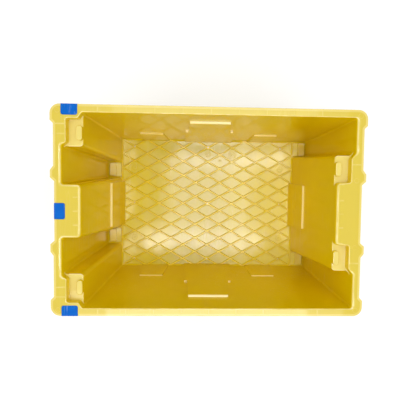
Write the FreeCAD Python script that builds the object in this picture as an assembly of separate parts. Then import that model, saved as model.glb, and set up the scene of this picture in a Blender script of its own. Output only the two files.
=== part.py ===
import FreeCAD
import Part
import math
import os

# Stacking and nesting plastic crate, 600 x 400 x 300 mm.
#
# One moulded body, and three snap-in marker clips in its rim. The same way round, crates nest.
# Turned end for end, the feet under the end pockets of the upper crate stand on the ledges of the
# lower one. +X is the long way, towards the end without marker clips. The origin is at the centre
# of the base, on the surface that the crate stands on.

os.makedirs("parts", exist_ok=True)

# Overall size of the moulding
length = 600.0
width = 400.0
height = 300.0

# Walls and draft
wall = 3.0
wall_slope = math.tan(math.radians(3.5))
side_slope = math.tan(math.radians(3.0))
upright = 0.0
corner_round = 4.0
post_round = 8.0
far_pocket_round = 10.0

# Floor and base ring
floor_top = 6.0
floor_thickness = 3.4
base_ring_width = 12.0
base_ring_round = 5.0
floor_edge_rise = 3.0

# Rim widths, from the outside of the lugs to the cavity at the top
long_rim = 15.4
pocket_rim = 21.0
post_rim = 57.0
centre_half = 50.5
pocket_width = 72.7

# Rim flange and its skirt
flange_thickness = 3.0
skirt_height = 28.0
skirt_thickness = 2.8
lug_height = 6.0
centre_setback = 7.6
rim_corner_round = 18.0
rim_step_width = 4.8
rim_step_depth = 0.8
lip_round = 2.2
lead_in_round = 5.5
edge_round = 1.2

# Lugs on the end rims
corner_lug_length = 30.5
corner_lug_bevel = 6.0
middle_lug_inner = 56.2
middle_lug_flat_start = 62.8
middle_lug_flat_end = 77.0
middle_lug_outer = 85.0
lug_round = 2.0

# Stacking ledges, with the play that the feet of the crate above have in them
ledge_drop = 15.0
foot_play = 2.8
end_play = 5.4
step_play = 4.6
near_lead = 5.8
far_lead = 11.5
far_lead_after = 5.5
far_lead_round = 6.5
corner_lead = 7.5
lead_before_post = 2.5
mouth_round = 4.0
far_post_round = 8.0
ledge_edge_round = 2.0

# Locating bosses on the ledges, and the recesses under the feet that drop over them
boss_width = 11.6
boss_length = 28.0
boss_height = 8.0
boss_round = 5.0
boss_top_round = 2.0
boss_play = 0.8
recess_extra_depth = 1.0
pad_skin = 1.8
pad_roof = 3.0
pad_round = 3.0
pad_edge_round = 1.0

# Diamond ribs on the floor, from their flared foot to their narrow crown
diamond_length = 64.2
diamond_angle = math.radians(30.0)
rib_width_foot = 5.6
rib_width_waist = 3.5
rib_waist_height = 0.8
rib_width_shoulder = 2.7
rib_crown_height = 0.5
rib_width_top = 1.7
rib_height = 3.0
drain_boss_radius = 5.6
drain_boss_top_radius = 4.0
drain_boss_height = 3.6
drain_radius = 1.6

# Round mould marks on the floor, each a ring or two with sloping sides
mark_width_foot = 2.2
mark_width_top = 0.7
mark_height = 0.7
gate_radii = (7.0, 1.8)
insert_radii = (11.0, 7.0, 3.0)
plain_insert_radii = (6.6, 2.6)
small_mark_radii = (3.2,)

# Where those marks stand, counted in diamonds from the middle
gate_columns = 3.0
gate_rows = 2.5
insert_rows = 3.5
small_mark_columns = 0.5
small_mark_rows = 3.1

# Recessed panel in the middle of each long wall
panel_depth = 5.0
panel_top = 240.0
panel_notch = 148.0
panel_half_top = 42.0
panel_half_notch = 48.3
panel_half_step = 53.6
panel_half_foot = 61.0
panel_edge_round = 1.2

# Low pads beside the panel on each long wall
low_pad_top = 100.0
low_pad_centre = 136.5
low_pad_half_top = 27.5
low_pad_half_foot = 35.5
low_pad_depth_top = 2.6
low_pad_depth_foot = 1.6
low_pad_edge_round = 0.6

# Panel on the lower half of each end's middle post
end_panel_top = 112.0
end_panel_bend = 50.0
end_panel_half_top = 52.5
end_panel_half_foot = 56.5
end_panel_depth = 5.0
end_panel_foot_depth = 8.5

# Gussets under the flange
gusset_pitch = 52.8
gusset_count = 4
gusset_thickness = 2.2
gusset_height = 18.0
centre_gusset_pitch = 26.4
centre_gusset_reach = 9.0
gusset_root = 1.5
pocket_gusset_spread = 22.0
near_ledge_webs = (144.5, 163.0)
far_ledge_web = 95.5
sink_depth = 0.25
sink_width = 2.2

# Round marks of the ejector pins, in the rim's corners and by the middle lugs of one end
pin_mark_radius = 5.0
pin_mark_line = 1.0
pin_mark_depth = 0.3
corner_pin_from_end = 14.5
corner_pin_from_side = 12.0
lug_pin_from_end = 19.0
lug_pin_y = 65.0

# Marker clips and their seats in the rim
clip_length = 30.4
clip_reach = 20.4
clip_thickness = 2.2
clip_drop = 20.0
clip_leg = 2.2
clip_play = 0.3
clip_round = 4.0
clip_edge_round = 0.5
clip_from_end = 36.0
clip_mark_radius = 0.9
clip_mark_depth = 0.3
seat_skin = 2.6
snap_width = 8.0
snap_thickness = 2.0
snap_spacing = 15.0
snap_from_edge = 9.0
snap_hook = 1.0
snap_hook_height = 2.4
snap_slot_play = 0.3

quarter_turn = 90.0

# How far roots run into what they join, and cutters run past what they cut
overlap = 1.0
least_round = 0.8
touching = 1e-4

# Derived places
half_length = length / 2
half_width = width / 2
pocket_x = half_length - pocket_rim
post_x = half_length - post_rim
wall_y = half_width - long_rim
ledge_z = height - ledge_drop
flange_under = height - flange_thickness
diamond_width = diamond_length * math.tan(diamond_angle)


def vec(x, y, z):
    return FreeCAD.Vector(x, y, z)


def wall_drop(slope, z):
    """How far a wall with this slope has moved into the cavity at level z."""
    return slope * (height - z)


# Where the feet stand on the ledges of the crate below
foot_inner = centre_half + wall_drop(side_slope, 0) - wall
foot_outer = centre_half + pocket_width - wall_drop(side_slope, 0) + wall
near_pocket_outer = centre_half + pocket_width
far_centre_half = foot_inner - foot_play
far_pocket_inner = foot_outer + foot_play - wall_drop(side_slope, ledge_z)
ledge_back_x = pocket_x - wall_drop(wall_slope, 0) + wall + end_play + wall_drop(wall_slope, ledge_z)
ledge_step_y = wall_y - wall_drop(wall_slope, 0) + wall + step_play
ledge_edge_x = post_x - wall_drop(wall_slope, ledge_z)
boss_x = ledge_edge_x + boss_width / 2
near_foot_y = (foot_inner + foot_outer) / 2
far_foot_y = (far_pocket_inner + wall_drop(side_slope, 0) + wall_y - wall_drop(wall_slope, 0)) / 2


def offset_corners(corners, slopes, grow, z):
    """The outline at level z: each side moved out by grow, less its draft below the top."""
    count = len(corners)
    lines = []
    for i in range(count):
        start = corners[i]
        end = corners[(i + 1) % count]
        dx = end[0] - start[0]
        dy = end[1] - start[1]
        size = math.hypot(dx, dy)
        dx, dy = dx / size, dy / size
        shift = grow - wall_drop(slopes[i], z)
        lines.append((start[0] + dy * shift, start[1] - dx * shift, dx, dy))
    points = []
    for i in range(count):
        ax, ay, adx, ady = lines[i - 1]
        bx, by, bdx, bdy = lines[i]
        cross = adx * bdy - ady * bdx
        along = ((bx - ax) * bdy - (by - ay) * bdx) / cross
        points.append(vec(ax + adx * along, ay + ady * along, z))
    return points


def ruled_solid(low, high):
    """A solid between two outlines with the same number of corners."""
    count = len(low)
    bottom = low[::-1]
    faces = [Part.Face(Part.makePolygon(outline + [outline[0]])) for outline in (bottom, high)]
    for i in range(count):
        j = (i + 1) % count
        faces.append(Part.Face(Part.makePolygon([low[i], low[j], high[j], high[i], low[i]])))
    return Part.makeSolid(Part.makeShell(faces))


def near(a, b):
    return abs(a - b) < touching


def same_point(a, b):
    return a.distanceToPoint(b) < touching


def round_sides(solid, low, high, radii):
    """Round the edges that join the two outlines, each corner with its own radius."""
    for radius in sorted(set(radii)):
        if radius <= 0:
            continue
        picked = []
        for i, wanted in enumerate(radii):
            if wanted != radius:
                continue
            for edge in solid.Edges:
                ends = [v.Point for v in edge.Vertexes]
                if len(ends) != 2:
                    continue
                if (same_point(ends[0], low[i]) and same_point(ends[1], high[i])) or (
                    same_point(ends[1], low[i]) and same_point(ends[0], high[i])
                ):
                    picked.append(edge)
        solid = solid.makeFillet(radius, picked).Solids[0]
    return solid


def turn_at(corners, i):
    """Positive where the outline turns left, which is a corner that the cavity fills."""
    before = corners[i - 1]
    here = corners[i]
    after = corners[(i + 1) % len(corners)]
    return (here[0] - before[0]) * (after[1] - here[1]) - (here[1] - before[1]) * (after[0] - here[0])


def drafted(outline, grow, z_low, z_high, extra_low=0.0):
    """A drafted block from an outline of (corners, slopes, radii), grown outwards all round.

    extra_low moves only its lower outline, for a bevelled foot.
    """
    corners, slopes, radii = outline
    low = offset_corners(corners, slopes, grow + extra_low, z_low)
    high = offset_corners(corners, slopes, grow, z_high)
    grown = []
    for i, radius in enumerate(radii):
        change = grow if turn_at(corners, i) > 0 else -grow
        grown.append(max(radius + change, least_round) if radius > 0 else 0)
    return round_sides(ruled_solid(low, high), low, high, grown)


def mirror(half, joining_slope):
    """The same corners at the front, in the order that keeps the outline running one way."""
    front = []
    for i in range(len(half) - 1, -1, -1):
        x, y, radius, _ = half[i]
        slope = half[i - 1][3] if i > 0 else joining_slope
        front.append((x, -y, radius, slope))
    return front


def whole_outline(left, right, joining_slope):
    """Join the back halves of both ends, and their mirrors, into (corners, slopes, radii).

    left runs from the back wall to the middle of its end, right from the middle to the back wall.
    Each entry is (x, y, radius of the corner, slope of the side that follows it).
    """
    entries = left + mirror(left, joining_slope) + mirror(right, joining_slope) + right
    corners = [(x, y) for x, y, _, _ in entries]
    slopes = [slope for _, _, _, slope in entries]
    radii = [radius for _, _, radius, _ in entries]
    return corners, slopes, radii


def cavity_outline():
    """The walls below the ledges, as they would meet the top of the crate."""
    left = [
        (-post_x, wall_y, corner_round, wall_slope),
        (-post_x, near_pocket_outer, post_round, side_slope),
        (-pocket_x, near_pocket_outer, corner_round, wall_slope),
        (-pocket_x, centre_half, corner_round, side_slope),
        (-post_x, centre_half, post_round, wall_slope),
    ]
    right = [
        (post_x, far_pocket_inner, post_round, side_slope),
        (pocket_x, far_pocket_inner, far_pocket_round, wall_slope),
        (pocket_x, wall_y, corner_round, wall_slope),
    ]
    return whole_outline(left, right, wall_slope)


def mouth_outline():
    """The opening above the ledges, where the pockets, the ledges and the centre sections show."""
    lead_end = post_x - lead_before_post
    lead_start = far_pocket_inner + far_lead_after - far_lead
    left = [
        (-lead_end, wall_y, mouth_round, wall_slope),
        (-lead_end - corner_lead, ledge_step_y, mouth_round, wall_slope),
        (-ledge_back_x, ledge_step_y, mouth_round, wall_slope),
        (-ledge_back_x, near_pocket_outer + near_lead, mouth_round, wall_slope),
        (-pocket_x, near_pocket_outer, mouth_round, wall_slope),
        (-pocket_x, centre_half, corner_round, side_slope),
        (-post_x, centre_half, post_round, wall_slope),
    ]
    right = [
        (post_x, far_centre_half, far_post_round, side_slope),
        (ledge_back_x, far_centre_half, mouth_round, wall_slope),
        (ledge_back_x, lead_start, far_lead_round, wall_slope),
        (pocket_x, lead_start + far_lead, far_lead_round, wall_slope),
        (pocket_x, wall_y, mouth_round, wall_slope),
    ]
    return whole_outline(left, right, wall_slope)


def rim_outline():
    """The outside of the flange, with its corner lugs and the two lugs on each end."""
    setback = half_length - lug_height
    centre = half_length - centre_setback
    lug_start = half_width - corner_lug_length
    left = [
        (-half_length, half_width, rim_corner_round, upright),
        (-half_length, lug_start, lug_round, upright),
        (-setback, lug_start - corner_lug_bevel, lug_round, upright),
        (-setback, middle_lug_outer, lug_round, upright),
        (-half_length, middle_lug_flat_end, lug_round, upright),
        (-half_length, middle_lug_flat_start, lug_round, upright),
        (-centre, middle_lug_inner, lug_round, upright),
    ]
    right = [(-x, y, radius, upright) for x, y, radius, _ in reversed(left)]
    return whole_outline(left, right, upright)


def box(x_low, x_high, y_low, y_high, z_low, z_high):
    """A block between limits along each axis."""
    return Part.makeBox(x_high - x_low, y_high - y_low, z_high - z_low, vec(x_low, y_low, z_low))


def rounded_block(centre_x, centre_y, size_x, size_y, radius, z_low, z_high):
    """An upright block with rounded corners."""
    low_x = centre_x - size_x / 2
    low_y = centre_y - size_y / 2
    block = box(low_x, low_x + size_x, low_y, low_y + size_y, z_low, z_high)
    return block.makeFillet(radius, upright_edges(block))


def upright_edges(solid):
    picked = []
    for edge in solid.Edges:
        ends = [v.Point for v in edge.Vertexes]
        if len(ends) == 2 and near(ends[0].x, ends[1].x) and near(ends[0].y, ends[1].y):
            picked.append(edge)
    return picked


def edges_at(solid, z):
    """The edges that lie flat at one level."""
    picked = []
    for edge in solid.Edges:
        limits = edge.BoundBox
        if near(limits.ZMin, z) and near(limits.ZMax, z):
            picked.append(edge)
    return picked


def both_walls(shape):
    """A feature of the back half and its mirror at the front."""
    return [shape, shape.mirror(vec(0, 0, 0), vec(0, 1, 0))]


def rim_flange():
    """The flat flange, its step round the outside, and the skirt that turns down from it."""
    outline = rim_outline()
    band_top = height - rim_step_depth
    block = drafted(outline, 0, height - skirt_height, band_top)
    block = block.makeFillet(edge_round, edges_at(block, band_top))
    hollow = drafted(outline, -skirt_thickness, height - skirt_height - overlap, flange_under)
    plateau = drafted(outline, -rim_step_width, flange_under, height)
    return block.cut(hollow).fuse(plateau)


def cavity():
    """The space inside, from the floor to above the rim."""
    walls = cavity_outline()
    edge_z = floor_top + floor_edge_rise
    foot = drafted(walls, 0, floor_top, edge_z, -floor_edge_rise)
    middle = drafted(walls, 0, edge_z, ledge_z)
    mouth = drafted(mouth_outline(), 0, ledge_z, height + overlap)
    return [foot, middle, mouth]


def plain_tub():
    """Walls, floor, ledges and flange, before the panels, bosses and ribs are added."""
    outside = drafted(cavity_outline(), wall, 0, flange_under)
    mouth_outside = drafted(mouth_outline(), wall, ledge_z - wall, flange_under)
    solid = rim_flange().fuse([outside, mouth_outside]).removeSplitter()
    return solid.cut(cavity()).removeSplitter()


def lip_radius(point):
    """How round the rim's inner edge is at a point: wider at the pockets and the centre sections."""
    x = point.x
    y = abs(point.y)
    if x < 0:
        beside_ledge = y > near_pocket_outer + near_lead / 2
        return lip_round if beside_ledge else lead_in_round
    if y > wall_y - mouth_round / 2:
        return lip_round
    at_pocket = x > (ledge_back_x + pocket_x) / 2
    at_centre = y < far_centre_half - overlap or x < post_x + far_post_round + overlap
    return lead_in_round if at_pocket or at_centre else lip_round


def round_lip(solid):
    """Round the edge where the cavity meets the flat top, with a radius that changes along it."""
    plateau = drafted(rim_outline(), -rim_step_width, flange_under, height)
    outer_middles = [edge.BoundBox.Center for edge in edges_at(plateau, height)]
    rows = []
    for number, edge in enumerate(solid.Edges, 1):
        limits = edge.BoundBox
        if not near(limits.ZMin, height) or not near(limits.ZMax, height):
            continue
        if any(same_point(limits.Center, middle) for middle in outer_middles):
            continue
        start = edge.valueAt(edge.FirstParameter)
        end = edge.valueAt(edge.LastParameter)
        rows.append((number, lip_radius(start), lip_radius(end)))
    sheet = FreeCAD.newDocument("rim")
    base = sheet.addObject("Part::Feature", "plain")
    base.Shape = solid
    rounded = sheet.addObject("Part::Fillet", "rounded")
    rounded.Base = base
    rounded.Edges = rows
    sheet.recompute()
    return rounded.Shape.Solids[0]


def ledge_trimmer(corners, slopes, post_corner, held_x, held_y):
    """What is taken off a ledge, and off its mirror, to round its free edges.

    post_corner is the index of the corner between the free sides. The other two sides lie at
    held_x and held_y.
    """
    radii = [post_round if i == post_corner else 0 for i in range(len(corners))]
    foot = ledge_z - 2 * ledge_edge_round
    sharp = drafted((corners, slopes, radii), 0, foot, ledge_z)
    free = []
    for edge in edges_at(sharp, ledge_z):
        middle = edge.BoundBox.Center
        if not near(middle.x, held_x) and not near(middle.y, held_y):
            free.append(edge)
    return both_walls(sharp.cut(sharp.makeFillet(ledge_edge_round, free)))


def ledge_trimmers():
    """The trimmers of the two ledges at each end."""
    near_end = wall_y - corner_lead
    near_corners = [
        (-ledge_back_x, near_pocket_outer),
        (-post_x, near_pocket_outer),
        (-post_x, near_end),
        (-ledge_back_x, near_end),
    ]
    near_slopes = [-side_slope, -wall_slope, upright, upright]
    far_start = far_centre_half + wall_drop(side_slope, ledge_z)
    far_corners = [
        (post_x, far_start),
        (ledge_back_x, far_start),
        (ledge_back_x, far_pocket_inner),
        (post_x, far_pocket_inner),
    ]
    far_slopes = [upright, upright, -side_slope, -wall_slope]
    trimmers = ledge_trimmer(near_corners, near_slopes, 1, -ledge_back_x, near_end)
    return trimmers + ledge_trimmer(far_corners, far_slopes, 3, ledge_back_x, far_start)


def tier(face, centre, low, high, start, end):
    """A tapering block that follows a sloping wall whose inner face is at face at the crate's top.

    low and high are its two ends, each (level, half width, depth into the cavity). Its inner side
    is start outside the panel's face, and its outer side is end outside the wall's inner face.
    """
    outlines = []
    for z, half, depth in (low, high):
        wall_face = face - wall_drop(wall_slope, z)
        inner = wall_face - depth + start
        outer = wall_face + end
        left = centre - half
        right = centre + half
        corners = [(left, inner), (right, inner), (right, outer), (left, outer)]
        outlines.append([vec(x, y, z) for x, y in corners])
    return ruled_solid(outlines[0], outlines[1])


def eased(block, z, radius):
    """Round a tier's upper edges, all but the one that lies in the wall."""
    free = [edge for edge in edges_at(block, z) if edge.BoundBox.YMin < block.BoundBox.YMax - overlap / 2]
    return block.makeFillet(radius, free)


def side_panel(shrink, foot_z, start, end):
    """The two tiers of a long wall's middle panel, with a notch where the narrow one starts."""
    spread = (panel_half_foot - panel_half_step) / (panel_notch - floor_top)
    half_foot = panel_half_foot + spread * (floor_top - foot_z) - shrink
    wide_low = (foot_z, half_foot, panel_depth)
    wide_high = (panel_notch - shrink, panel_half_step - shrink, panel_depth)
    narrow_low = (panel_notch - shrink - overlap, panel_half_notch - shrink, panel_depth)
    narrow_high = (panel_top - shrink, panel_half_top - shrink, panel_depth)
    wide = tier(wall_y, 0, wide_low, wide_high, start, end)
    narrow = eased(tier(wall_y, 0, narrow_low, narrow_high, start, end), panel_top - shrink, panel_edge_round)
    return both_walls(wide) + both_walls(narrow)


def end_panel(shrink, foot_z, start, end):
    """The two tiers of the panel on each end's middle post, the lower one leaning in further."""
    bend_share = end_panel_bend / end_panel_top
    half_bend = end_panel_half_foot + (end_panel_half_top - end_panel_half_foot) * bend_share - shrink
    foot = (foot_z, end_panel_half_foot - shrink, end_panel_foot_depth)
    bend = (end_panel_bend, half_bend, end_panel_depth)
    top = (end_panel_top - shrink, end_panel_half_top - shrink, end_panel_depth)
    lower = tier(post_x, 0, foot, bend, start, end)
    upper = eased(tier(post_x, 0, bend, top, start, end), end_panel_top - shrink, panel_edge_round)
    return [turned(block, angle) for block in (lower, upper) for angle in (quarter_turn, -quarter_turn)]


def low_pads():
    """The shallow pads beside the panel on each long wall."""
    low = (floor_top - overlap, low_pad_half_foot, low_pad_depth_foot)
    high = (low_pad_top, low_pad_half_top, low_pad_depth_top)
    pads = []
    for centre in (-low_pad_centre, low_pad_centre):
        pad = tier(wall_y, centre, low, high, 0, overlap)
        pads += both_walls(eased(pad, low_pad_top, low_pad_edge_round))
    return pads


def turned(shape, angle):
    """The same shape, turned about the crate's upright axis."""
    copy = shape.copy()
    copy.rotate(vec(0, 0, 0), vec(0, 0, 1), angle)
    return copy


def ledge_boss(side, y):
    """A boss on a ledge, flush with the post below it."""
    foot = ledge_z - 2 * ledge_edge_round
    top = ledge_z + boss_height
    block = rounded_block(side * boss_x, y, boss_width, boss_length, boss_round, foot, top)
    return block.makeFillet(boss_top_round, edges_at(block, top))


def foot_pad(side, y):
    """The raised pad inside, over the recess in a foot."""
    size_x = boss_width + 2 * (boss_play + pad_skin)
    size_y = boss_length + 2 * (boss_play + pad_skin)
    top = boss_height + recess_extra_depth + pad_roof
    block = rounded_block(side * boss_x, y, size_x, size_y, pad_round, floor_top - overlap, top)
    return block.makeFillet(pad_edge_round, edges_at(block, top))


def foot_recess(side, y):
    """The recess under a foot, which drops over the boss of the crate below."""
    size_x = boss_width + 2 * boss_play
    size_y = boss_length + 2 * boss_play
    top = boss_height + recess_extra_depth
    return rounded_block(side * boss_x, y, size_x, size_y, boss_round + boss_play, -overlap, top)


def base_recess():
    """The shallow hollow under the floor, which leaves a ring to stand on."""
    reach_x = post_x - wall_drop(wall_slope, 0) + wall - base_ring_width
    reach_y = wall_y - wall_drop(wall_slope, 0) + wall - base_ring_width
    top = floor_top - floor_thickness
    return rounded_block(0, 0, 2 * reach_x, 2 * reach_y, base_ring_round, -overlap, top)


def rib(start, end):
    """A floor rib between two points, with a flared foot, sloping sides and a bevelled crown."""
    along = end.sub(start)
    across = vec(-along.y, along.x, 0)
    across.normalize()
    flare = (rib_width_foot - rib_width_waist) / rib_waist_height
    profile = [
        (rib_width_foot + flare * overlap, -overlap),
        (rib_width_waist, rib_waist_height),
        (rib_width_shoulder, rib_height - rib_crown_height),
        (rib_width_top, rib_height),
    ]
    section = []
    for side, edge in ((-1, profile), (1, profile[::-1])):
        for width_here, rise in edge:
            shift = side * width_here / 2
            section.append(vec(start.x + across.x * shift, start.y + across.y * shift, floor_top + rise))
    return Part.Face(Part.makePolygon(section + [section[0]])).extrude(along)


def floor_reach(face, slope):
    """How far ribs run, into a wall whose inner face is at face at the crate's top."""
    return face - wall_drop(slope, floor_top) + wall / 2


def diamond_ribs():
    """Crossing ribs over the floor between the posts and the long walls."""
    reach_x = floor_reach(post_x, wall_slope)
    reach_y = floor_reach(wall_y, wall_slope)
    run_x = reach_x + wall
    rise = math.tan(diamond_angle) * run_x
    last = math.ceil((reach_y + rise) / diamond_width)
    ribs = []
    for number in range(-last, last + 1):
        middle = number * diamond_width
        for way in (-1, 1):
            ribs.append(rib(vec(-run_x, middle - way * rise, 0), vec(run_x, middle + way * rise, 0)))
    frame = box(-reach_x, reach_x, -reach_y, reach_y, floor_top - overlap, floor_top + rib_height)
    return ribs[0].multiFuse(ribs[1:]).common(frame)


def pocket_ribs():
    """The straight rib across the foot of each end pocket."""
    x = floor_reach(post_x, wall_slope) - rib_width_waist / 2
    near_low = 2 * centre_half - floor_reach(centre_half, side_slope)
    near_high = floor_reach(near_pocket_outer, side_slope)
    far_low = 2 * far_pocket_inner - floor_reach(far_pocket_inner, side_slope)
    far_high = floor_reach(wall_y, wall_slope)
    ribs = both_walls(rib(vec(-x, near_low, 0), vec(-x, near_high, 0)))
    return ribs + both_walls(rib(vec(x, far_low, 0), vec(x, far_high, 0)))


def drain_places():
    """Nine crossings of the ribs: the middle, and the outermost whole diamonds each way."""
    inside_x = floor_reach(post_x, wall_slope) - 2 * drain_boss_radius
    inside_y = floor_reach(wall_y, wall_slope) - 2 * drain_boss_radius
    step_x = math.floor(inside_x / diamond_length) * diamond_length
    step_y = math.floor(inside_y / diamond_width) * diamond_width
    return [(x, y) for x in (-step_x, 0, step_x) for y in (-step_y, 0, step_y)]


def disc(x, y, radius, z_low, z_high):
    """An upright round bar."""
    return Part.makeCylinder(radius, z_high - z_low, vec(x, y, z_low))


def raised_ring(x, y, radius):
    """A raised line in a circle on the floor, with sloping sides."""
    section = []
    for side, rise in ((-1, -overlap), (1, -overlap), (1, 0), (1, mark_height), (-1, mark_height), (-1, 0)):
        line_width = mark_width_top if rise > 0 else mark_width_foot
        section.append(vec(x + radius + side * line_width / 2, y, floor_top + rise))
    face = Part.Face(Part.makePolygon(section + [section[0]]))
    return face.revolve(vec(x, y, 0), vec(0, 0, 1), 4 * quarter_turn)


def floor_marks():
    """The rings at the four gates, on the two round inserts and round a small pin."""
    places = [(0, insert_rows, plain_insert_radii), (1, insert_rows, insert_radii)]
    places.append((small_mark_columns, small_mark_rows, small_mark_radii))
    for column in (-gate_columns, gate_columns):
        for row in (-gate_rows, gate_rows):
            places.append((column, row, gate_radii))
    marks = []
    for column, row, radii in places:
        for radius in radii:
            marks.append(raised_ring(column * diamond_length, row * diamond_width, radius))
    return marks


def drain_boss(x, y):
    """The tapering boss round a drain hole, where two ribs cross."""
    foot_z = floor_top - overlap
    rise = overlap + drain_boss_height
    return Part.makeCone(drain_boss_radius, drain_boss_top_radius, rise, vec(x, y, foot_z))


def end_web(x_inner, y):
    """An upright web under an end's flange, and its mirror, from a wall outwards to the skirt."""
    low = flange_under - gusset_height
    x_outer = half_length - lug_height - skirt_thickness / 2
    if x_inner < 0:
        x_outer = -x_outer
    half = gusset_thickness / 2
    return both_walls(box(min(x_inner, x_outer), max(x_inner, x_outer), y - half, y + half, low, flange_under))


def gussets():
    """Upright webs under the flange, between the walls and the skirt."""
    low = flange_under - gusset_height
    half = gusset_thickness / 2
    skirt_y = half_width - skirt_thickness / 2
    wall_outside = wall_y - wall_drop(wall_slope, low) + wall / 2
    webs = []
    for number in range(-gusset_count, gusset_count + 1):
        x = number * gusset_pitch
        webs += both_walls(box(x - half, x + half, wall_outside, skirt_y, low, flange_under))
    behind_pocket = pocket_x - wall_drop(wall_slope, low) + wall / 2
    behind_ledge = ledge_back_x + wall / 2
    near_middle = centre_half + pocket_width / 2
    far_middle = (far_pocket_inner + wall_y) / 2
    for spread in (-pocket_gusset_spread, pocket_gusset_spread):
        webs += end_web(-behind_pocket, near_middle + spread)
        webs += end_web(behind_pocket, far_middle + spread)
    for y in near_ledge_webs:
        webs += end_web(-behind_ledge, y)
    return webs + end_web(behind_ledge, far_ledge_web)


def centre_webs():
    """Small three-cornered webs where the flange's centre sections meet the posts."""
    root = post_x + wall / 2
    tip = post_x + wall + centre_gusset_reach
    low = flange_under - centre_gusset_reach
    webs = []
    for number in (-1, 0, 1):
        y = number * centre_gusset_pitch - gusset_thickness / 2
        corners = [vec(root, y, flange_under), vec(tip, y, flange_under), vec(root, y, low)]
        web = Part.Face(Part.makePolygon(corners + [corners[0]])).extrude(vec(0, gusset_thickness, 0))
        webs += [web, turned(web, 2 * quarter_turn)]
    return webs


def sink_line(x_start, y_start, x_end, y_end):
    """A faint round-bottomed groove in the top of the rim, over a web."""
    radius = (sink_width**2 / 4 + sink_depth**2) / (2 * sink_depth)
    along = vec(x_end - x_start, y_end - y_start, 0)
    return Part.makeCylinder(radius, along.Length, vec(x_start, y_start, height - sink_depth + radius), along)


def sink_lines():
    """The grooves over all the webs whose tops show."""
    inner_y = wall_y + lip_round
    outer_y = half_width - rim_step_width
    grooves = []
    for number in range(-gusset_count, gusset_count + 1):
        x = number * gusset_pitch
        grooves += both_walls(sink_line(x, inner_y, x, outer_y))
    inner_x = ledge_back_x + lip_round
    outer_x = half_length - lug_height - rim_step_width
    for y in near_ledge_webs:
        grooves += both_walls(sink_line(-inner_x, y, -outer_x, y))
    grooves += both_walls(sink_line(inner_x, far_ledge_web, outer_x, far_ledge_web))
    edge_x = post_x + lead_in_round
    for number in (-1, 0, 1):
        y = number * centre_gusset_pitch
        groove = sink_line(edge_x, y, edge_x + centre_gusset_reach, y)
        grooves += [groove, turned(groove, 2 * quarter_turn)]
    return grooves


def pin_marks():
    """Shallow round lines in the top of the rim, one for each ejector pin."""
    low = height - pin_mark_depth
    corner_x = half_length - corner_pin_from_end
    corner_y = half_width - corner_pin_from_side
    lug_x = half_length - lug_pin_from_end
    marks = []
    for x, y in ((corner_x, corner_y), (-corner_x, corner_y), (lug_x, lug_pin_y)):
        line = disc(x, y, pin_mark_radius, low, height + overlap)
        line = line.cut(disc(x, y, pin_mark_radius - pin_mark_line, low - overlap, height + 2 * overlap))
        marks += both_walls(line)
    return marks


def clip_blank(play, top):
    """A clip's plate and leg, at a rim that runs along X with its outside at y = 0 and its top at z = 0.

    With play it is what the clip takes out of the rim. Its outer side runs past the rim.
    """
    half = clip_length / 2 + play
    plate = box(-half, half, -clip_reach - play, overlap, -clip_thickness, top)
    inner_corners = [edge for edge in upright_edges(plate) if edge.BoundBox.YMax < 0]
    plate = plate.makeFillet(clip_round, inner_corners)
    return plate.fuse(box(-half, half, -clip_leg - play, overlap, -clip_drop - play, top))


def snap_leg(x):
    """A hooked leg that reaches through the seat, with its hook under it."""
    y = -clip_reach + snap_from_edge
    half = snap_width / 2
    hook_top = -clip_thickness - seat_skin - clip_play
    foot = hook_top - snap_hook_height
    shank = box(x - half, x + half, y, y + snap_thickness, foot, -clip_thickness)
    nose = [vec(x - half, y, hook_top), vec(x - half, y - snap_hook, hook_top), vec(x - half, y, foot)]
    hook = Part.Face(Part.makePolygon(nose + [nose[0]])).extrude(vec(snap_width, 0, 0))
    return shank.fuse(hook)


def snap_slot(x):
    """The slot that a leg and its hook pass through."""
    y = -clip_reach + snap_from_edge
    half = snap_width / 2 + snap_slot_play
    outer = y + snap_thickness + snap_hook + snap_slot_play
    low = -clip_thickness - seat_skin - overlap
    return box(x - half, x + half, y - snap_slot_play, outer, low, -clip_thickness + overlap)


def marker_clip():
    """A plate flush with the rim, a leg flush with the skirt, and two snap legs."""
    past_rim = box(-clip_length, clip_length, 0, 2 * overlap, -2 * clip_drop, 2 * overlap)
    body = clip_blank(0, 0).cut(past_rim)
    rounded = []
    for edge in body.Edges:
        limits = edge.BoundBox
        on_top = near(limits.ZMin, 0) and near(limits.ZMax, 0)
        on_front = near(limits.YMin, 0) and near(limits.YMax, 0)
        if on_top or on_front:
            rounded.append(edge)
    body = body.makeFillet(clip_edge_round, rounded)
    body = body.fuse([snap_leg(-snap_spacing / 2), snap_leg(snap_spacing / 2)])
    dimple = disc(0, -clip_reach / 2, clip_mark_radius, -clip_mark_depth, overlap)
    return body.cut(dimple).removeSplitter()


def seat_backing():
    """The moulding that carries a clip: a shelf under its plate and a doubler behind its leg."""
    half = clip_length / 2 + clip_play + seat_skin
    shelf_y = -clip_reach - clip_play - seat_skin
    doubler_y = -clip_leg - clip_play - seat_skin
    shelf_top = -clip_thickness / 2
    shelf = box(-half, half, shelf_y, -clip_leg, -clip_thickness - seat_skin, shelf_top)
    doubler = box(-half, half, doubler_y, -skirt_thickness / 2, -skirt_height, shelf_top)
    return shelf.fuse(doubler)


def seat_cut():
    """What a clip takes out of the rim, with its play."""
    slots = [snap_slot(-snap_spacing / 2), snap_slot(snap_spacing / 2)]
    return clip_blank(clip_play, overlap).fuse(slots)


def placed(shape, x, y, angle):
    """The same shape on the rim, turned to face outwards."""
    copy = turned(shape, angle)
    copy.translate(vec(x, y, height))
    return copy


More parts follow.
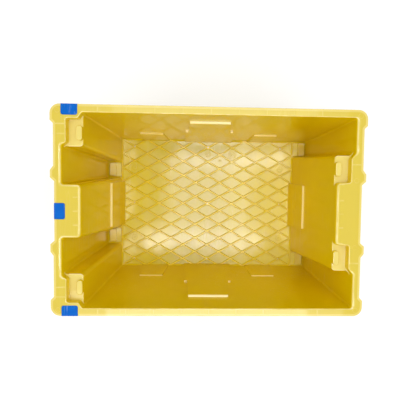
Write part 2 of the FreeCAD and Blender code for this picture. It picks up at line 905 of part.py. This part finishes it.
def clip_places():
    """Where the marker clips sit: (node name, x, y, turn)."""
    corner_x = clip_from_end - half_length
    return [
        ("corner_marker_clip_back", corner_x, half_width, 0),
        ("corner_marker_clip_front", corner_x, -half_width, 2 * quarter_turn),
        ("end_marker_clip", centre_setback - half_length, 0, quarter_turn),
    ]


def crate_body():
    """The one moulding."""
    solid = round_lip(plain_tub()).cut(ledge_trimmers())
    added = gussets() + centre_webs() + low_pads() + pocket_ribs() + floor_marks() + [diamond_ribs()]
    added += side_panel(0, floor_top - overlap, 0, overlap) + end_panel(0, floor_top - overlap, 0, overlap)
    removed = sink_lines() + pin_marks() + [base_recess()]
    outside = wall + 2 * end_panel_foot_depth
    removed += side_panel(wall, -overlap, wall, outside) + end_panel(wall, -overlap, wall, outside)
    for y in (near_foot_y, -near_foot_y):
        added += [ledge_boss(1, y), foot_pad(-1, y)]
        removed.append(foot_recess(-1, y))
    for y in (far_foot_y, -far_foot_y):
        added += [ledge_boss(-1, y), foot_pad(1, y)]
        removed.append(foot_recess(1, y))
    for x, y in drain_places():
        added.append(drain_boss(x, y))
        removed.append(disc(x, y, drain_radius, -overlap, floor_top + drain_boss_height + overlap))
    for _, x, y, angle in clip_places():
        added.append(placed(seat_backing(), x, y, angle))
        removed.append(placed(seat_cut(), x, y, angle))
    return solid.fuse(added).cut(removed).removeSplitter()


def save(shape, name):
    shape.exportStep(os.path.join("parts", name + ".step"))


save(crate_body(), "crate_body")
for name, x, y, angle in clip_places():
    save(placed(marker_clip(), x, y, angle), name)
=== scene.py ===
import math

import bmesh
import bpy
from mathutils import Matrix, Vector


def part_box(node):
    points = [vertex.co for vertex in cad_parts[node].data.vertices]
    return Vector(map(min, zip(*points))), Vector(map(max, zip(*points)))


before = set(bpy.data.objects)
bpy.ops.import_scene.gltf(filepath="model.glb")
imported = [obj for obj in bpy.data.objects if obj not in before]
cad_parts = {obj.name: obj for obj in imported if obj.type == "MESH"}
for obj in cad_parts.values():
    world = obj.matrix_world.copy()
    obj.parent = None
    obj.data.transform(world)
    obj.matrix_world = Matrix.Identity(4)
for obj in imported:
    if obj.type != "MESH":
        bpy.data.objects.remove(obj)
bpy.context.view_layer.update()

bl_info = {
    "name": "Stacking Crate",
    "version": (1, 0, 0),
    "blender": (4, 5, 0),
    "location": "3D View > Sidebar > Crate",
    "description": "Finishes a moulded stacking crate and sets the stage that it is shown on",
    "category": "Object",
}

BODY_NODE = "crate_body"
CLIP_NODES = ("corner_marker_clip_back", "corner_marker_clip_front", "end_marker_clip")
body_high = Vector(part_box(BODY_NODE)[1])

# The stage's floor: half its width, the share of the crate's half sizes within which it glows yellow as a
# painted light through the plastic, and the shares of its reach between which its glow rises to white
FLOOR_REACH = 6.0
UNDER_SHARE = 0.70
GLOW_START = 0.2
GLOW_END = 0.6

# The one lamp that lights matt surfaces
CEILING_SIZE = 7.0
CEILING_PLACE = (0.0, -0.9, 2.7)

WHITE = (1.0, 1.0, 1.0, 1.0)

# Lamps that only glossy surfaces show: (name, size across, size along, x, y, z, brightness)
SHEEN_LAMPS = (
    ("soft_box", 0.8, 0.7, 0.07, -0.1, 2.6, 6.8),
    ("side_box", 0.5, 0.8, 0.72, -0.1, 2.62, 2.2),
    ("front_box", 1.15, 0.2, -0.03, -0.5, 2.64, 4.5),
    ("front_tube", 0.77, 0.085, -0.01, -0.342, 1.5, 9.5),
    ("back_tube", 1.0, 0.11, 0.25, 0.275, 2.55, 13.0),
    ("back_strip", 1.6, 0.14, 0.1, 0.56, 2.55, 2.0),
    ("back_strip_ends", 2.1, 0.14, 0.1, 0.56, 2.57, 1.0),
    ("front_strip", 1.6, 0.24, 0.05, -0.95, 2.55, 4.0),
    ("front_strip_ends", 2.2, 0.24, 0.05, -0.95, 2.57, 2.0),
    ("left_window", 0.9, 2.0, -2.3, -0.3, 2.3, 5.0),
    ("right_window", 0.9, 2.0, 2.3, -0.3, 2.3, 5.0),
    ("front_window", 2.6, 0.9, 0.0, -2.3, 2.3, 8.0),
)


class Wire:
    """One output of a shader node. Arithmetic on it adds the Math nodes that it needs."""

    def __init__(self, sheet, socket):
        self.sheet = sheet
        self.socket = socket

    def _math(self, operation, *values):
        inputs = dict(enumerate(values))
        return self.sheet.node("ShaderNodeMath", {"operation": operation}, inputs)

    def __add__(self, other):
        return self._math("ADD", self, other)

    __radd__ = __add__

    def __sub__(self, other):
        return self._math("SUBTRACT", self, other)

    def __rsub__(self, other):
        return self._math("SUBTRACT", other, self)

    def __mul__(self, other):
        return self._math("MULTIPLY", self, other)

    __rmul__ = __mul__

    def __truediv__(self, other):
        return self._math("DIVIDE", self, other)

    def __pow__(self, other):
        return self._math("POWER", self, other)

    def __abs__(self):
        return self._math("ABSOLUTE", self)

    def largest(self, other):
        return self._math("MAXIMUM", self, other)

    def below(self, other):
        return self._math("LESS_THAN", self, other)


def opaque(colour):
    """A setting's colour with an alpha of 1."""
    return tuple(colour) + (1.0,)


class Sheet:
    """A node tree, and the few kinds of node that the finishes are made of."""

    def __init__(self, owner):
        """owner is a new material or world."""
        owner.use_nodes = True
        self.owner = owner
        self.tree = owner.node_tree
        self.tree.nodes.clear()
        self.place = self.node("ShaderNodeTexCoord", output="Object")

    def node(self, kind, settings=None, inputs=None, output=0):
        """Add a node: its settings first, then the values or links of its sockets."""
        made = self.tree.nodes.new(kind)
        for key, value in (settings or {}).items():
            if key == "stops":
                self._fill_ramp(made.color_ramp, value)
            else:
                setattr(made, key, value)
        for key, value in (inputs or {}).items():
            if isinstance(value, Wire):
                self.tree.links.new(value.socket, made.inputs[key])
            else:
                made.inputs[key].default_value = value
        return Wire(self, made.outputs[output]) if output is not None else None

    @staticmethod
    def _fill_ramp(ramp, stops):
        while len(ramp.elements) < len(stops):
            ramp.elements.new(1.0)
        for element, (position, grey) in zip(ramp.elements, stops):
            element.position = position
            element.color = (grey, grey, grey, 1.0)

    def stretched(self, scale, turn=(0.0, 0.0, 0.0)):
        """The object's own coordinates, turned and then stretched."""
        inputs = {"Vector": self.place, "Rotation": turn, "Scale": scale}
        return self.node("ShaderNodeMapping", None, inputs)

    def noise(self, scale, detail=3.0, roughness=0.5, vector=None):
        inputs = {"Vector": vector or self.place, "Scale": scale, "Detail": detail, "Roughness": roughness}
        return self.node("ShaderNodeTexNoise", None, inputs)

    def ramp(self, value, *stops):
        return self.node("ShaderNodeValToRGB", {"stops": stops}, {0: value})

    def blend(self, amount, first, second):
        """Mix two colours."""
        settings = {"data_type": "RGBA", "blend_type": "MIX"}
        return self.node("ShaderNodeMix", settings, {0: amount, 6: first, 7: second}, 2)

    def level(self, axis):
        """One of the object's own coordinates, in metres."""
        return self.node("ShaderNodeSeparateXYZ", None, {0: self.place}, axis)

    def along(self, axis, low, high, *stops):
        """A ramp over one coordinate, from low to high. Each stop is a place and a grey.

        Places are in millimetres.
        """
        share = (self.level(axis) - low / 1000) * (1000 / (high - low))
        return self.ramp(share, *(((place - low) / (high - low), grey) for place, grey in stops))

    def facing(self, axis):
        """How far a face looks along an axis, from -1 to 1."""
        normal = self.node("ShaderNodeNewGeometry", output="Normal")
        return self.node("ShaderNodeSeparateXYZ", None, {0: normal}, axis)

    def bump(self, height, distance, strength, under=None):
        inputs = {"Height": height, "Distance": distance, "Strength": strength}
        if under is not None:
            inputs["Normal"] = under
        return self.node("ShaderNodeBump", None, inputs)

    def surface(self, **sockets):
        """The plastic itself, linked to the material's output."""
        inputs = {name.replace("_", " "): value for name, value in sockets.items()}
        return self.finished(self.node("ShaderNodeBsdfPrincipled", None, inputs))

    def seen_directly(self):
        """1 for what the camera sees itself or in a glossy or clear surface, 0 for light on matt ones."""
        kinds = ("Is Camera Ray", "Is Glossy Ray", "Is Transmission Ray")
        camera, glossy, clear = (self.node("ShaderNodeLightPath", output=kind) for kind in kinds)
        return camera.largest(glossy).largest(clear)

    def finished(self, shader, kind="ShaderNodeOutputMaterial"):
        """Link a shader to the tree's output."""
        self.node(kind, None, {"Surface": shader}, None)
        return self.owner


def scratches(sheet, count, width, turn, stretch):
    """Fine straight scuffs: a mask that is 1 in a scratch. A low stretch makes them long."""
    run = sheet.stretched((1.0, stretch, 1.0), (0.0, 0.0, turn))
    lines = sheet.noise(count, 2.0, 0.4, run)
    return sheet.ramp(abs(lines - 0.5), (0.0, 1.0), (width, 0.0))


def moulded_tone(sheet, settings, cloud):
    """The yellow as it was moulded: cloudy, with flow marks along the crate and a fine mottle."""
    flow = sheet.noise(9.0, 3.0, 0.5, sheet.stretched((0.25, 1.0, 1.0)))
    mottle = sheet.noise(85.0, 2.0, 0.5)
    tone = cloud * 0.5 + flow * 0.35 + mottle * 0.15
    shade = sheet.ramp(tone, (0.35, 0.0), (0.65, 1.0))
    return sheet.blend(shade, opaque(settings.deep_colour), opaque(settings.light_colour))


def edge_highlights(sheet, settings):
    """Painted highlights on the rounded edges of the rim and of the ledges, broken into patches, strongest
    on those along the crate.
    """
    upward = sheet.facing("Z")
    lengthwise = sheet.ramp(abs(sheet.facing("Y")), (0.2, 0.0), (0.5, 1.0))
    rim_bend = sheet.ramp(upward, (0.68, 0.0), (0.78, 1.0), (0.93, 1.0), (0.985, 0.0))
    on_rim = sheet.along("Z", 290, 300, (294.5, 0.0), (296, 1.0))
    creases = sheet.along("Z", 299.5, 300, (299.6, 0.0), (299.7, 1.0), (299.95, 1.0), (299.985, 0.0))
    # Noise that breaks the painted edge highlights into patches
    rubbed = sheet.ramp(sheet.noise(38.0, 3.0, 0.6), (0.38, 0.25), (0.62, 1.0))
    rim = (rim_bend * on_rim).largest(creases * 0.5) * rubbed
    rim = rim * (lengthwise + 0.7) * settings.highlight_strength
    # Painted highlights on the rounded edges of the ledges
    ledge_bend = sheet.ramp(upward, (0.15, 0.0), (0.3, 1.0), (0.94, 1.0), (0.99, 0.0))
    on_ledge = sheet.along("Z", 280, 290, (282, 0.0), (283, 1.0), (285, 1.0), (285.6, 0.0))
    return rim.largest(on_ledge * ledge_bend * lengthwise * 0.9)


def tone_and_painted_light(sheet, settings, colour, near_floor):
    """The moulded yellow, with the floor darker in its middle, painted sheen on the upward faces near the
    rim, painted highlights on the edges and the panel tops, and a painted glow on the rib tops.
    """
    blotches = sheet.noise(22.0, 4.0, 0.6) * 0.5 + 0.75
    level_face = sheet.ramp(sheet.facing("Z"), (0.5, 0.0), (0.97, 1.0)) * blotches
    # The colour of the painted highlights
    highlight_colour = opaque(settings.highlight_colour)

    # Painted sheen on the rim and the ledges: their upward faces are paler, and all but the rim's top face
    # are paler still, towards the highlight colour. The rim's top face is less pale than the rest of them.
    near_rim = sheet.along("Z", 200, 300, (266.667, 0.0), (273.333, 1.0))
    rim_top = sheet.along("Z", 299, 300, (299.4, 0.0), (299.65, 1.0))
    rim_sheen = level_face * near_rim
    colour = sheet.blend(rim_sheen, colour, opaque(settings.rim_sheen_colour))
    colour = sheet.blend(rim_sheen * (1 - rim_top) * 0.24, colour, highlight_colour)

    # The floor, darker a little to the left of its middle and paler towards its ends, and the ribs that
    # stand on it
    paler_ends = sheet.along(
        "X", -500, 500, (-280, 0.9), (-160, 0.6), (-50, 0.0), (20, 0.0), (200, 0.85), (280, 1.0),
    )
    floor = sheet.blend(paler_ends, opaque(settings.floor_colour), opaque(settings.paler_ends_floor_colour))
    colour = sheet.blend(level_face * near_floor, colour, floor)
    # Painted glow: the tops of the ribs are brighter, standing in for light through the thin plastic
    rib_glow = sheet.along("Z", 0, 20, (7, 0.0), (8, 1.0), (9.7, 1.0), (10, 0.0))
    colour = sheet.blend(rib_glow, colour, opaque(settings.rib_glow_colour))

    # Painted highlights on the tops of the panels and pads on the walls, and on the edges of the rim and the
    # ledges
    on_walls = sheet.along(
        "Z", 0, 400, (40, 0.0), (50, 0.5), (166.667, 0.5), (200, 1.0), (266.667, 1.0), (273.333, 0.0),
    )
    edges = edge_highlights(sheet, settings)
    return sheet.blend(edges.largest(level_face * on_walls * 0.8), colour, highlight_colour)


def yellow_polyethylene(settings):
    """Glossy moulded polyethylene with flow marks, a fine grain, scuffs and a little dust."""
    sheet = Sheet(bpy.data.materials.new("yellow_polyethylene"))
    cloud = sheet.noise(7.0, 4.0, 0.55)
    near_floor = sheet.along("Z", 0, 100, (8, 1.0), (16, 0.0))
    colour = moulded_tone(sheet, settings, cloud)
    colour = tone_and_painted_light(sheet, settings, colour, near_floor)

    patches = sheet.ramp(sheet.noise(5.0, 4.0, 0.6), (0.45, 0.0), (0.7, 1.0))
    fine = scratches(sheet, 55.0, 0.012, 0.4, 0.06)
    cross = scratches(sheet, 70.0, 0.01, 1.9, 0.05)
    worn = fine.largest(cross) * patches * settings.wear
    colour = sheet.blend(worn * 0.5, colour, opaque(settings.scuff_colour))
    specks = sheet.ramp(sheet.noise(30.0, 5.0, 0.65), (0.4, 0.0), (0.75, 1.0))
    dust = near_floor * specks * settings.dust
    colour = sheet.blend(dust, colour, opaque(settings.dust_colour))

    relief = sheet.bump(sheet.noise(900.0, 2.0, 0.6), 0.0002, near_floor * settings.grain)
    relief = sheet.bump(sheet.noise(60.0, 2.0, 0.5), 0.001, settings.ripple, relief)
    relief = sheet.bump(sheet.noise(15.0, 1.0, 0.4), 0.002, near_floor * settings.sink, relief)
    relief = sheet.bump(worn, 0.0003, 0.3, relief)
    rough = cloud * 0.03 + worn * 0.25 + near_floor * 0.06 + dust * 0.25
    return sheet.surface(
        Base_Color=colour,
        Roughness=rough + (settings.roughness - 0.02),
        Normal=relief,
        IOR=1.54,
        Specular_IOR_Level=0.4,
    )


def blue_plastic(settings):
    """Satin blue plastic for the marker clips, a little rubbed on top."""
    sheet = Sheet(bpy.data.materials.new("blue_plastic"))
    cloud = sheet.noise(60.0, 4.0, 0.6)
    shade = sheet.ramp(cloud, (0.35, 0.0), (0.7, 1.0))
    colour = sheet.blend(shade, opaque(settings.clip_colour), opaque(settings.clip_light_colour))
    patches = sheet.ramp(sheet.noise(40.0), (0.45, 0.0), (0.6, 1.0))
    rub = scratches(sheet, 160.0, 0.02, 0.7, 0.08) * patches
    colour = sheet.blend(rub * 0.35, colour, opaque(settings.clip_rub_colour))
    relief = sheet.bump(sheet.noise(1400.0, 2.0, 0.6), 0.0002, 0.25)
    relief = sheet.bump(rub, 0.0002, 0.3, relief)
    return sheet.surface(
        Base_Color=colour,
        Roughness=cloud * 0.15 + rub * 0.2 + 0.32,
        Normal=relief,
        Specular_IOR_Level=0.05,
    )


def dress(node_name, material):
    """Give a CAD node its finish."""
    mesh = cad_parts[node_name].data
    for slot in range(len(mesh.materials)):
        mesh.materials[slot] = material


class CratePlastics(bpy.types.PropertyGroup):
    """Colours and finish of the two plastics."""

    deep_colour: bpy.props.FloatVectorProperty(
        name="Deep yellow", description="Yellow where the plastic is darkest", subtype="COLOR",
        size=3, min=0.0, max=1.0, default=(0.77, 0.548, 0.0),
    )
    light_colour: bpy.props.FloatVectorProperty(
        name="Light yellow", description="Yellow where the plastic is palest", subtype="COLOR",
        size=3, min=0.0, max=1.0, default=(0.82, 0.60, 0.0),
    )
    # The paler yellow of the painted sheen on the upward faces of the rim and the ledges
    rim_sheen_colour: bpy.props.FloatVectorProperty(
        name="Faded yellow", description="Yellow of the rim and the ledges, which fade and wear first",
        subtype="COLOR", size=3, min=0.0, max=1.0, default=(0.66, 0.505, 0.05),
    )
    # The floor's yellow in its middle, where it is darkest
    floor_colour: bpy.props.FloatVectorProperty(
        name="Floor yellow", description="Yellow of the worn floor", subtype="COLOR",
        size=3, min=0.0, max=1.0, default=(0.53, 0.43, 0.0),
    )
    # The floor's yellow towards its ends, where it is paler
    paler_ends_floor_colour: bpy.props.FloatVectorProperty(
        name="Fresh floor yellow", description="Yellow of the floor towards its ends, less worn",
        subtype="COLOR", size=3, min=0.0, max=1.0, default=(0.87, 0.725, 0.03),
    )
    # The colour of the painted glow on the tops of the ribs
    rib_glow_colour: bpy.props.FloatVectorProperty(
        name="Rib yellow", description="Yellow of the ribs, which glow a little where they are thin",
        subtype="COLOR", size=3, min=0.0, max=1.0, default=(0.85, 0.665, 0.0),
    )
    scuff_colour: bpy.props.FloatVectorProperty(
        name="Scuffs", description="Colour of rubbed plastic", subtype="COLOR",
        size=3, min=0.0, max=1.0, default=(0.9, 0.76, 0.32),
    )
    dust_colour: bpy.props.FloatVectorProperty(
        name="Dust", description="Colour of dust on the floor", subtype="COLOR",
        size=3, min=0.0, max=1.0, default=(0.62, 0.5, 0.2),
    )
    clip_colour: bpy.props.FloatVectorProperty(
        name="Clips", description="Blue of the marker clips", subtype="COLOR",
        size=3, min=0.0, max=1.0, default=(0.0, 0.11, 0.5),
    )
    clip_light_colour: bpy.props.FloatVectorProperty(
        name="Clips, paler", description="Blue where a clip is palest", subtype="COLOR",
        size=3, min=0.0, max=1.0, default=(0.001, 0.13, 0.55),
    )
    clip_rub_colour: bpy.props.FloatVectorProperty(
        name="Clips, rubbed", description="Blue where a clip is rubbed", subtype="COLOR",
        size=3, min=0.0, max=1.0, default=(0.35, 0.5, 0.8),
    )
    # The colour of the painted highlights: on the rounded edges of the rim and the ledges, on the ledges,
    # and on the tops of the wall panels and pads.
    highlight_colour: bpy.props.FloatVectorProperty(
        name="Edges", description="Colour of the rubbed edges of the rim, the ledges and the panels",
        subtype="COLOR", size=3, min=0.0, max=1.0, default=(1.0, 0.90, 0.45),
    )
    # How strong the painted edge highlights are
    highlight_strength: bpy.props.FloatProperty(
        name="Edge wear", description="How rubbed those edges are", subtype="FACTOR",
        min=0.0, max=1.0, default=0.5,
    )
    roughness: bpy.props.FloatProperty(
        name="Roughness", description="How matt the yellow plastic is", subtype="FACTOR",
        min=0.0, max=1.0, default=0.05,
    )
    wear: bpy.props.FloatProperty(
        name="Wear", description="How scuffed the yellow plastic is", subtype="FACTOR",
        min=0.0, max=1.0, default=0.5,
    )
    dust: bpy.props.FloatProperty(
        name="Dust", description="How dusty the floor is", subtype="FACTOR",
        min=0.0, max=1.0, default=0.25,
    )
    grain: bpy.props.FloatProperty(
        name="Grain", description="How deep the fine grain is", subtype="FACTOR",
        min=0.0, max=1.0, default=0.08,
    )
    ripple: bpy.props.FloatProperty(
        name="Ripple", description="How much broad surfaces wave", subtype="FACTOR",
        min=0.0, max=1.0, default=0.015,
    )
    sink: bpy.props.FloatProperty(
        name="Sink", description="How much the floor sinks between its ribs", subtype="FACTOR",
        min=0.0, max=1.0, default=0.3,
    )


class CrateStage(bpy.types.PropertyGroup):
    """Camera and light."""

    camera_place: bpy.props.FloatVectorProperty(
        name="Camera place", description="Where the camera stands", subtype="TRANSLATION",
        unit="LENGTH", size=3, default=(-0.0188, 0.0615, 1.0172),
    )
    camera_turn: bpy.props.FloatVectorProperty(
        name="Camera turn", description="How the camera is turned from straight down", subtype="EULER",
        unit="ROTATION", size=3, default=(math.radians(-2.8), math.radians(-2.1), math.radians(0.82)),
    )
    lens: bpy.props.FloatProperty(
        name="Lens", description="Focal length on a 36 mm sensor, in millimetres", min=1.0, default=34.08,
    )
    shift_x: bpy.props.FloatProperty(name="Shift across", description="Lens shift across", default=-0.036)
    shift_y: bpy.props.FloatProperty(name="Shift up", description="Lens shift up", default=-0.003)
    ceiling_power: bpy.props.FloatProperty(
        name="Ceiling", description="Power of the broad light from the whole ceiling", unit="POWER",
        min=0.0, default=202.0,
    )
    sheen: bpy.props.FloatProperty(
        name="Sheen", description="How bright the lamps are that only glossy surfaces show",
        min=0.0, default=1.0,
    )
    room_light: bpy.props.FloatProperty(
        name="Room light", description="Strength of the light from all round", min=0.0, max=1.0, default=0.3,
    )
    floor_colour: bpy.props.FloatVectorProperty(
        name="Floor", description="Colour of the floor", subtype="COLOR",
        size=3, min=0.0, max=1.0, default=(0.62, 0.62, 0.62),
    )
    # The colour of the painted glow on the floor under the crate
    under_glow_colour: bpy.props.FloatVectorProperty(
        name="Under the crate", description="Colour of the light that comes through the plastic",
        subtype="COLOR", size=3, min=0.0, max=1.0, default=(0.8, 0.5, 0.0),
    )
    floor_glow: bpy.props.FloatProperty(
        name="Floor glow", description="How much white the camera sees on the floor", min=0.0, default=0.42,
    )


class CRATE_OT_finish_body(bpy.types.Operator):
    """Give the moulded body its yellow plastic"""

    bl_idname = "crate.finish_body"
    bl_label = "Finish Body"

    def execute(self, context):
        dress(BODY_NODE, yellow_polyethylene(context.scene.crate_plastics))
        return {"FINISHED"}


class CRATE_OT_finish_clips(bpy.types.Operator):
    """Give the marker clips their blue plastic"""

    bl_idname = "crate.finish_clips"
    bl_label = "Finish Clips"

    def execute(self, context):
        material = blue_plastic(context.scene.crate_plastics)
        for name in CLIP_NODES:
            dress(name, material)
        return {"FINISHED"}


def lamp(name, power, size_x, size_y, place):
    """A rectangular light that shines straight down."""
    data = bpy.data.lights.new(name, "AREA")
    data.shape = "RECTANGLE"
    data.size = size_x
    data.size_y = size_y
    data.energy = power
    light = bpy.data.objects.new(name, data)
    light.location = place
    bpy.context.scene.collection.objects.link(light)
    return light


def stage_floor(settings):
    """A pale floor that shows white round the crate and still takes its shadow. Under the crate it glows
    yellow, a painted light standing in for light through the plastic.
    """
    sheet = Sheet(bpy.data.materials.new("stage_floor"))
    paint = sheet.node("ShaderNodeBsdfDiffuse", None, {"Color": opaque(settings.floor_colour)})
    x, y = sheet.level("X"), sheet.level("Y")
    under = abs(x).below(body_high.x * UNDER_SHARE) * abs(y).below(body_high.y * UNDER_SHARE)
    # Painted light: under the crate the floor's glow is yellow, as if it came through the plastic
    colour = sheet.blend(under, WHITE, opaque(settings.under_glow_colour))
    distance = (x ** 2 + y ** 2) ** 0.5
    far = sheet.ramp(distance / FLOOR_REACH, (GLOW_START, 0.0), (GLOW_END, 1.0))
    strength = sheet.seen_directly() * (far * (1 - settings.floor_glow) + settings.floor_glow)
    glow = sheet.node("ShaderNodeEmission", None, {"Color": colour, "Strength": strength})
    material = sheet.finished(sheet.node("ShaderNodeAddShader", None, {0: paint, 1: glow}))
    mesh = bpy.data.meshes.new("stage_floor")
    build = bmesh.new()
    bmesh.ops.create_grid(build, x_segments=1, y_segments=1, size=FLOOR_REACH)
    build.to_mesh(mesh)
    build.free()
    mesh.materials.append(material)
    floor = bpy.data.objects.new("stage_floor", mesh)
    bpy.context.scene.collection.objects.link(floor)


def white_room(settings):
    """A room that shows white, and lights matt surfaces only a little."""
    sheet = Sheet(bpy.data.worlds.new("white_room"))
    strength = sheet.seen_directly() * (1 - settings.room_light) + settings.room_light
    background = sheet.node("ShaderNodeBackground", None, {"Color": WHITE, "Strength": strength})
    return sheet.finished(background, "ShaderNodeOutputWorld")


class CRATE_OT_set_stage(bpy.types.Operator):
    """Make the floor, the lights and the camera"""

    bl_idname = "crate.set_stage"
    bl_label = "Set Stage"

    def execute(self, context):
        scene = context.scene
        settings = scene.crate_stage
        stage_floor(settings)
        power = settings.ceiling_power
        ceiling = lamp("ceiling_light", power, CEILING_SIZE, CEILING_SIZE, CEILING_PLACE)
        ceiling.visible_glossy = False
        for name, size_x, size_y, x, y, z, brightness in SHEEN_LAMPS:
            power = brightness * settings.sheen * math.pi * size_x * size_y
            light = lamp(name, power, size_x, size_y, (x, y, z))
            light.visible_diffuse = False
        scene.world = white_room(settings)
        scene.view_settings.view_transform = "Standard"
        data = bpy.data.cameras.new("camera")
        data.lens = settings.lens
        data.shift_x = settings.shift_x
        data.shift_y = settings.shift_y
        camera = bpy.data.objects.new("camera", data)
        camera.location = settings.camera_place
        camera.rotation_euler = settings.camera_turn
        scene.collection.objects.link(camera)
        scene.camera = camera
        return {"FINISHED"}


class CRATE_PT_panel(bpy.types.Panel):
    """The steps, in the order that they run"""

    bl_label = "Stacking Crate"
    bl_idname = "CRATE_PT_panel"
    bl_space_type = "VIEW_3D"
    bl_region_type = "UI"
    bl_category = "Crate"

    def draw(self, context):
        for operator in OPERATORS:
            self.layout.operator(operator.bl_idname)


OPERATORS = (CRATE_OT_finish_body, CRATE_OT_finish_clips, CRATE_OT_set_stage)
GROUPS = (("crate_plastics", CratePlastics), ("crate_stage", CrateStage))


def register():
    for name, group in GROUPS:
        bpy.utils.register_class(group)
        setattr(bpy.types.Scene, name, bpy.props.PointerProperty(type=group))
    for operator in OPERATORS:
        bpy.utils.register_class(operator)
    bpy.utils.register_class(CRATE_PT_panel)


def unregister():
    bpy.utils.unregister_class(CRATE_PT_panel)
    for operator in reversed(OPERATORS):
        bpy.utils.unregister_class(operator)
    for name, group in reversed(GROUPS):
        delattr(bpy.types.Scene, name)
        bpy.utils.unregister_class(group)


def main():
    register()
    for operator in OPERATORS:
        category, name = operator.bl_idname.split(".")
        getattr(getattr(bpy.ops, category), name)()


if __name__ == "__main__":
    main()
